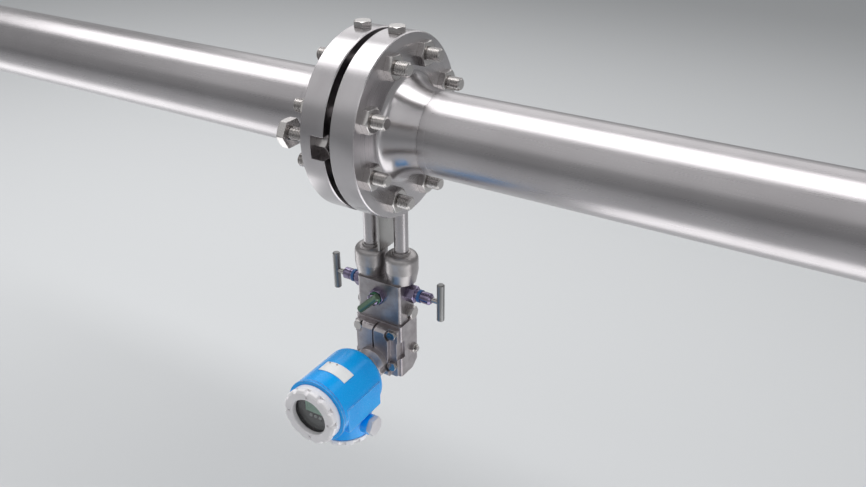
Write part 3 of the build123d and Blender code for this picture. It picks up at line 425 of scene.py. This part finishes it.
def metal(name, dark, light, rough, grain, stretch=(1, 1, 1), depth=20 * MICRON, mottle=9.0):
    """Metal with a fine grain, which can be drawn out, and a broad change of tone."""
    recipe = Recipe(name)
    recipe.set(Metallic=1.0)
    fine = recipe.noise(grain, 5.0, recipe.stretched(stretch))
    recipe.worn_metal(recipe.noise(mottle, 3.0), dark, light)
    recipe.rough(recipe.remap(fine, *rough))
    recipe.bump(fine, depth)
    return recipe.material


def turned_metal(name, dark, light, rough, axis, centre):
    """Metal faced on a lathe, with fine rings about one axis that spread its highlights."""
    recipe = Recipe(name)
    recipe.set(Metallic=1.0, Anisotropic=0.7)
    tangent = recipe.add("ShaderNodeTangent", direction_type="RADIAL", axis="XYZ"[axis])
    recipe.link(tangent.outputs["Tangent"], recipe.shader.inputs["Tangent"])
    rings = recipe.add("ShaderNodeTexNoise", noise_dimensions="1D")
    rings.inputs["Scale"].default_value = 900.0
    rings.inputs["Detail"].default_value = 3.0
    recipe.link(recipe.around(axis, centre), rings.inputs["W"])
    recipe.worn_metal(recipe.noise(14.0, 4.0), dark, light)
    faced = recipe.times(rings.outputs["Fac"], recipe.facing_along(axis))
    recipe.rough(recipe.remap(faced, *rough, (0.0, NOISE_MIDDLE[1])))
    recipe.bump(faced, 12 * MICRON)
    return recipe.material


def painted(name, deep, bright, gloss, coat):
    """Sprayed paint with a faint orange peel, a slow change of tone and lighter edges, partly wear and
    partly a painted highlight.
    """
    recipe = Recipe(name, PAINT_ROUNDING)
    recipe.set(Coat_Weight=coat, Coat_Roughness=0.12, Specular_IOR_Level=0.3)
    peel = recipe.noise(700.0, 2.0)
    broad = recipe.noise(25.0, 3.0)
    tone = recipe.blend(recipe.remap(broad, 0.0, 1.0), deep, bright)
    # Lighter colour along the edges: partly bare wear, partly a painted highlight where rounded edges catch
    # the light
    edge_tone = tuple(PAINT_WEAR_AND_HIGHLIGHT_GAIN * part + PAINT_WEAR_AND_HIGHLIGHT_LIFT for part in bright)
    recipe.colour(recipe.over(recipe.worn_and_highlit_edges(), tone, edge_tone))
    recipe.rough(recipe.remap(peel, gloss - 0.04, gloss + 0.06))
    recipe.bump(peel, 40 * MICRON)
    return recipe.material


def moulded(name, deep, bright, gloss):
    """Plastic or rubber with a fine moulded grain."""
    recipe = Recipe(name)
    grain = recipe.noise(1600.0, 2.0)
    broad = recipe.noise(60.0, 2.0)
    recipe.colour(recipe.blend(recipe.remap(broad, 0.0, 1.0), deep, bright))
    recipe.rough(recipe.remap(grain, gloss - 0.06, gloss + 0.08))
    recipe.bump(grain, 30 * MICRON)
    return recipe.material


def clear_glass(name):
    """Window glass with a trace of wiping marks in its gloss."""
    recipe = Recipe(name)
    recipe.set(Transmission_Weight=1.0, IOR=1.5, Base_Color=(0.96, 0.98, 0.98, 1.0))
    recipe.rough(recipe.remap(recipe.noise(120.0, 4.0), 0.0, 0.04))
    return recipe.material


def liquid_crystal(name, deep, bright):
    """Grey-green display glass with a fine grain in its gloss."""
    recipe = Recipe(name)
    grid = recipe.noise(2600.0, 1.0)
    broad = recipe.noise(40.0, 2.0)
    recipe.colour(recipe.blend(recipe.remap(broad, 0.0, 1.0), deep, bright))
    recipe.rough(recipe.remap(grid, 0.18, 0.26))
    return recipe.material


MATERIALS = {
    "sight_glass": clear_glass("sight_glass"),
    "display_screen": liquid_crystal("display_screen", SCREEN_DEEP, SCREEN_BRIGHT),
}
MATERIALS.update({slot: metal(slot, **values) for slot, values in METALS.items()})
MATERIALS.update({slot: turned_metal(slot, **values) for slot, values in TURNED_METALS.items()})
MATERIALS.update({slot: painted(slot, *values) for slot, values in PAINTS.items()})
MATERIALS.update({slot: moulded(slot, *values) for slot, values in MOULDINGS.items()})


def dress(mesh, material):
    """Gives a mesh one material and no other."""
    mesh.materials.clear()
    mesh.materials.append(material)


for subpart in frame["record"]["subparts"]:
    dress(nodes[subpart["node"]].data, MATERIALS[subpart["material_slot"]])
dress(nodes["equalizing_handle"].data, metal("green_bar", **GREEN_BAR))


# Mesh helpers
def circle(steps):
    """The angles of a full turn in even steps."""
    return [2 * math.pi * step / steps for step in range(steps)]


def band(builder, first, second, smooth=False):
    """Faces between two closed rows of points."""
    for step in range(len(first)):
        after = (step + 1) % len(first)
        face = builder.faces.new((first[step], first[after], second[after], second[step]))
        face.smooth = smooth


def new_rows(builder, sections):
    """Rows of new points."""
    return [[builder.verts.new(point) for point in section] for section in sections]


def skin(builder, sections):
    """Joins rows of points into one closed surface with flat ends."""
    rows = new_rows(builder, sections)
    for first, second in zip(rows, rows[1:]):
        band(builder, first, second)
    builder.faces.new(rows[0])
    builder.faces.new(rows[-1])


def ring(builder, sections):
    """Joins rows of points into a smooth closed ring, the last row to the first one."""
    rows = new_rows(builder, sections)
    for first, second in zip(rows, rows[1:] + rows[:1]):
        band(builder, first, second, smooth=True)


def new_piece(name, builder, body, slot):
    """Turns a finished bmesh into a piece that rides on a body with a slot's finish."""
    bmesh.ops.recalc_face_normals(builder, faces=builder.faces)
    mesh = bpy.data.meshes.new(name)
    builder.to_mesh(mesh)
    builder.free()
    mesh.materials.append(MATERIALS[slot])
    piece = bpy.data.objects.new(name, mesh)
    bpy.context.scene.collection.objects.link(piece)
    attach(piece, body)
    return piece


# Studs and jack screws
def rod(builder, across, up, profile):
    """A round bar along X through a place, given as pairs of position and radius."""
    angles = circle(THREAD_STEPS)
    sections = [
        [(x, across + radius * math.cos(angle), up + radius * math.sin(angle)) for angle in angles]
        for x, radius in profile
    ]
    skin(builder, sections)


def hex_head(builder, across, up, inner, outer, corner_angle):
    """A hexagon head along X whose outer end has a turned chamfer."""
    apothem = JACK_HEAD_ACROSS_FLATS / 2
    side = 1 if outer > inner else -1
    sections = []
    for depth in (*HEX_CHAMFER_DEPTHS, abs(outer - inner)):
        cone = HEX_CHAMFER_START * apothem + HEX_CHAMFER_SLOPE * depth
        x = outer - side * depth
        section = []
        for angle in circle(HEX_STEPS):
            turn = (angle - corner_angle) % (math.pi / 3) - math.pi / 6
            radius = min(apothem / math.cos(turn), cone)
            section.append((x, across + radius * math.cos(angle), up + radius * math.sin(angle)))
        sections.append(section)
    skin(builder, sections)


def thread_ridge(builder, across, up, start, end):
    """A helical ridge round a bar, from one position to another along X."""
    root = STUD_RADIUS - THREAD_DEPTH - THREAD_SINK
    outline = (
        (-THREAD_ROOT_REACH, root),
        (-THREAD_CREST_REACH, STUD_RADIUS),
        (THREAD_CREST_REACH, STUD_RADIUS),
        (THREAD_ROOT_REACH, root),
    )
    turns = (end - start) / THREAD_PITCH - 1
    sections = []
    for step in range(int(turns * THREAD_STEPS) + 1):
        angle = 2 * math.pi * step / THREAD_STEPS
        x = start + THREAD_PITCH * (0.5 + step / THREAD_STEPS)
        section = [
            (x + THREAD_PITCH * share, across + radius * math.cos(angle), up + radius * math.sin(angle))
            for share, radius in outline
        ]
        sections.append(section)
    skin(builder, sections)


def threaded_studs():
    """Studs with plain middles and threaded ends, in the places of the CAD's studs."""
    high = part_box("flange_studs")[1]
    half_angle = math.pi / STUD_COUNT
    circle_radius = (high[1] - STUD_RADIUS) / math.cos(half_angle)
    minor = STUD_RADIUS - THREAD_DEPTH
    end = high[0]
    shoulder = end - THREADED_LENGTH
    profile = (
        (-end, minor - STUD_CHAMFER / 2),
        (-end + STUD_CHAMFER / 2, minor),
        (-shoulder, minor),
        (-shoulder + THREAD_DEPTH, STUD_RADIUS),
        (shoulder - THREAD_DEPTH, STUD_RADIUS),
        (shoulder, minor),
        (end - STUD_CHAMFER / 2, minor),
        (end, minor - STUD_CHAMFER / 2),
    )
    builder = bmesh.new()
    for turn in circle(STUD_COUNT):
        across = circle_radius * math.cos(half_angle + turn)
        up = circle_radius * math.sin(half_angle + turn)
        rod(builder, across, up, profile)
        thread_ridge(builder, across, up, shoulder, end)
        thread_ridge(builder, across, up, -end, -shoulder)
    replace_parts(new_piece("threaded_studs", builder, "line", "bolt_steel"), "flange_studs")


def jack_screw(node):
    """A jack screw with a thread along its whole shank, in the place of the CAD's screw.

    Its tip passes the middle of the flanges, so its side comes from its whole box.
    """
    low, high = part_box(node)
    side = 1 if low[0] + high[0] > 0 else -1
    tip, end = (low[0], high[0]) if side > 0 else (high[0], low[0])
    across = (low[1] + high[1]) / 2
    up = (low[2] + high[2]) / 2
    corner_angle = 0.0 if high[1] - low[1] > high[2] - low[2] else math.pi / 6
    head = end - side * JACK_HEAD_HEIGHT
    minor = STUD_RADIUS - THREAD_DEPTH
    profile = (
        (tip, minor - STUD_CHAMFER / 2),
        (tip + side * STUD_CHAMFER / 2, minor),
        (head + side * HEAD_OVERLAP, minor),
    )
    builder = bmesh.new()
    rod(builder, across, up, profile)
    thread_ridge(builder, across, up, min(tip, head), max(tip, head))
    hex_head(builder, across, up, head, end, corner_angle)
    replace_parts(new_piece("threaded_" + node, builder, node_bodies[node], "bolt_steel"), node)


# Welds
def smooth_welds():
    """Welds ground nearly flush, which run out softly onto the pipe and the hub."""
    weld_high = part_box("girth_welds")[1]
    pipe_low, pipe_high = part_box("outlet_pipe")
    root = pipe_low[0]
    reach = weld_high[0] - root + WELD_RUNOUT
    pipe_radius = pipe_high[2]
    cap = weld_high[2] - pipe_radius
    profile = [(-reach, pipe_radius - WELD_DEPTH)]
    for row in range(WELD_ROWS + 1):
        share = 2 * row / WELD_ROWS - 1
        crown = WELD_GRINDING * cap * (0.5 + 0.5 * math.cos(math.pi * share))
        profile.append((share * reach, pipe_radius + crown - WELD_EDGE_SINK * share**8))
    profile.append((reach, pipe_radius - WELD_DEPTH))
    builder = bmesh.new()
    for side in (-1, 1):
        sections = [
            [
                (side * root + x, radius * math.cos(angle), radius * math.sin(angle))
                for angle in circle(WELD_STEPS)
            ]
            for x, radius in profile
        ]
        ring(builder, sections)
    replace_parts(new_piece("smooth_girth_welds", builder, "line", "weld_steel"), "girth_welds")


# Cover rim
def notch(angle):
    """How far the cover's rim falls back between its lobes, at an angle."""
    pitch = 2 * math.pi / LOBE_COUNT
    from_notch = abs((angle - LOBE_NOTCH_ANGLE + pitch / 2) % pitch - pitch / 2)
    share = min(1.0, max(0.0, (from_notch - NOTCH_FLOOR) / NOTCH_FLANK))
    return NOTCH_DEPTH * (1 - share * share * (3 - 2 * share))


def cover_rim():
    """The cover's lobed finger grip, over the notched rim of the CAD's cover."""
    low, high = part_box("display_cover")
    axis_z = (low[2] + high[2]) / 2
    sections = []
    for behind, radius, share in RIM_PROFILE:
        section = []
        for angle in circle(RIM_STEPS):
            reach = radius * MM - notch(angle) * share
            section.append((reach * math.cos(angle), low[1] + behind * MM, axis_z + reach * math.sin(angle)))
        sections.append(section)
    builder = bmesh.new()
    ring(builder, sections)
    piece = new_piece("cover_grip_rim", builder, "display_cover", "cover_paint")
    piece.data.set_sharp_from_angle(angle=RIM_SHARP_ANGLE)


# Display
def stroke(builder, x, y, z, width, height):
    """One flat bar of a digit with pointed ends along its longer side."""
    half_width, half_height = width / 2, height / 2
    tip = min(half_width, half_height)
    if width > height:
        outline = ((-half_width, 0), (-half_width + tip, tip), (half_width - tip, tip))
    else:
        outline = ((0, half_height), (tip, half_height - tip), (tip, -half_height + tip))
    outline += tuple((-dx, -dz) for dx, dz in outline)
    front, back = new_rows(
        builder, [[(x + dx, depth, z + dz) for dx, dz in outline] for depth in (y, y + STROKE_LIFT / 2)]
    )
    builder.faces.new(front)
    builder.faces.new(back)
    band(builder, front, back)


def display_segments():
    """Faint unlit digits just in front of the screen."""
    low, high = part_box("display_screen")
    width = high[0] - low[0]
    height = high[2] - low[2]
    digit_width = DIGIT_WIDTH * width
    digit_height = DIGIT_HEIGHT * height
    thickness = STROKE_THICKNESS * width
    level_length = digit_width - LEVEL_SHORTENING * thickness
    upright_length = digit_height / 2 - UPRIGHT_SHORTENING * thickness
    y = low[1] - STROKE_LIFT
    base = (low[2] + high[2]) / 2 - digit_height / 2
    middle = (low[0] + high[0]) / 2
    builder = bmesh.new()
    for place in range(DIGIT_COUNT):
        x = middle + (place - (DIGIT_COUNT - 1) / 2) * DIGIT_STEP * width
        for across, up, level in STROKES:
            size = (level_length, thickness) if level else (thickness, upright_length)
            stroke(builder, x + across * digit_width, y, base + up * digit_height, *size)
    piece = new_piece("display_segments", builder, "transmitter", "display_screen")
    dress(piece.data, liquid_crystal("unlit_segments", UNLIT_DEEP, UNLIT_BRIGHT))


smooth_welds()
threaded_studs()
jack_screw("upstream_jack_screw")
jack_screw("downstream_jack_screw")
cover_rim()
display_segments()


# Studio
def lay_floor():
    """A plain pale floor."""
    floor_mesh = bpy.data.meshes.new("floor")
    builder = bmesh.new()
    bmesh.ops.create_grid(builder, x_segments=1, y_segments=1, size=FLOOR_SIZE / 2)
    builder.to_mesh(floor_mesh)
    builder.free()
    floor = bpy.data.objects.new("floor", floor_mesh)
    floor.location.z = FLOOR_LEVEL
    bpy.context.scene.collection.objects.link(floor)
    recipe = Recipe("floor")
    recipe.set(Roughness=FLOOR_ROUGHNESS, Base_Color=(*FLOOR_COLOUR, 1.0))
    floor_mesh.materials.append(recipe.material)


def light_world():
    """Even light from all around."""
    world = bpy.data.worlds.new("studio")
    world.use_nodes = True
    backdrop = world.node_tree.nodes["Background"]
    backdrop.inputs["Color"].default_value = (*WORLD_COLOUR, 1.0)
    backdrop.inputs["Strength"].default_value = WORLD_STRENGTH
    bpy.context.scene.world = world


def area_lamp(name, place, target, width, depth, power):
    """A soft rectangular lamp that faces a point, out of the camera's sight."""
    lamp = bpy.data.lights.new(name, "AREA")
    lamp.shape = "RECTANGLE"
    lamp.size = width
    lamp.size_y = depth
    lamp.energy = power
    holder = bpy.data.objects.new(name, lamp)
    bpy.context.scene.collection.objects.link(holder)
    holder.location = place
    holder.rotation_euler = (Vector(target) - Vector(place)).to_track_quat("-Z", "Y").to_euler()
    holder.visible_camera = False


def place_camera():
    """The photograph's camera."""
    camera_data = bpy.data.cameras.new("camera")
    camera_data.lens = CAMERA_LENS
    camera_data.sensor_width = CAMERA_SENSOR
    camera_data.sensor_fit = "HORIZONTAL"
    camera = bpy.data.objects.new("camera", camera_data)
    camera.location = CAMERA_PLACE
    camera.rotation_euler = (math.pi / 2 - CAMERA_PITCH, 0, CAMERA_AZIMUTH)
    bpy.context.scene.collection.objects.link(camera)
    bpy.context.scene.camera = camera


lay_floor()
light_world()
for lamp_name, settings in LAMPS.items():
    area_lamp(lamp_name, *settings)
place_camera()
bpy.context.scene.view_settings.view_transform = "Standard"
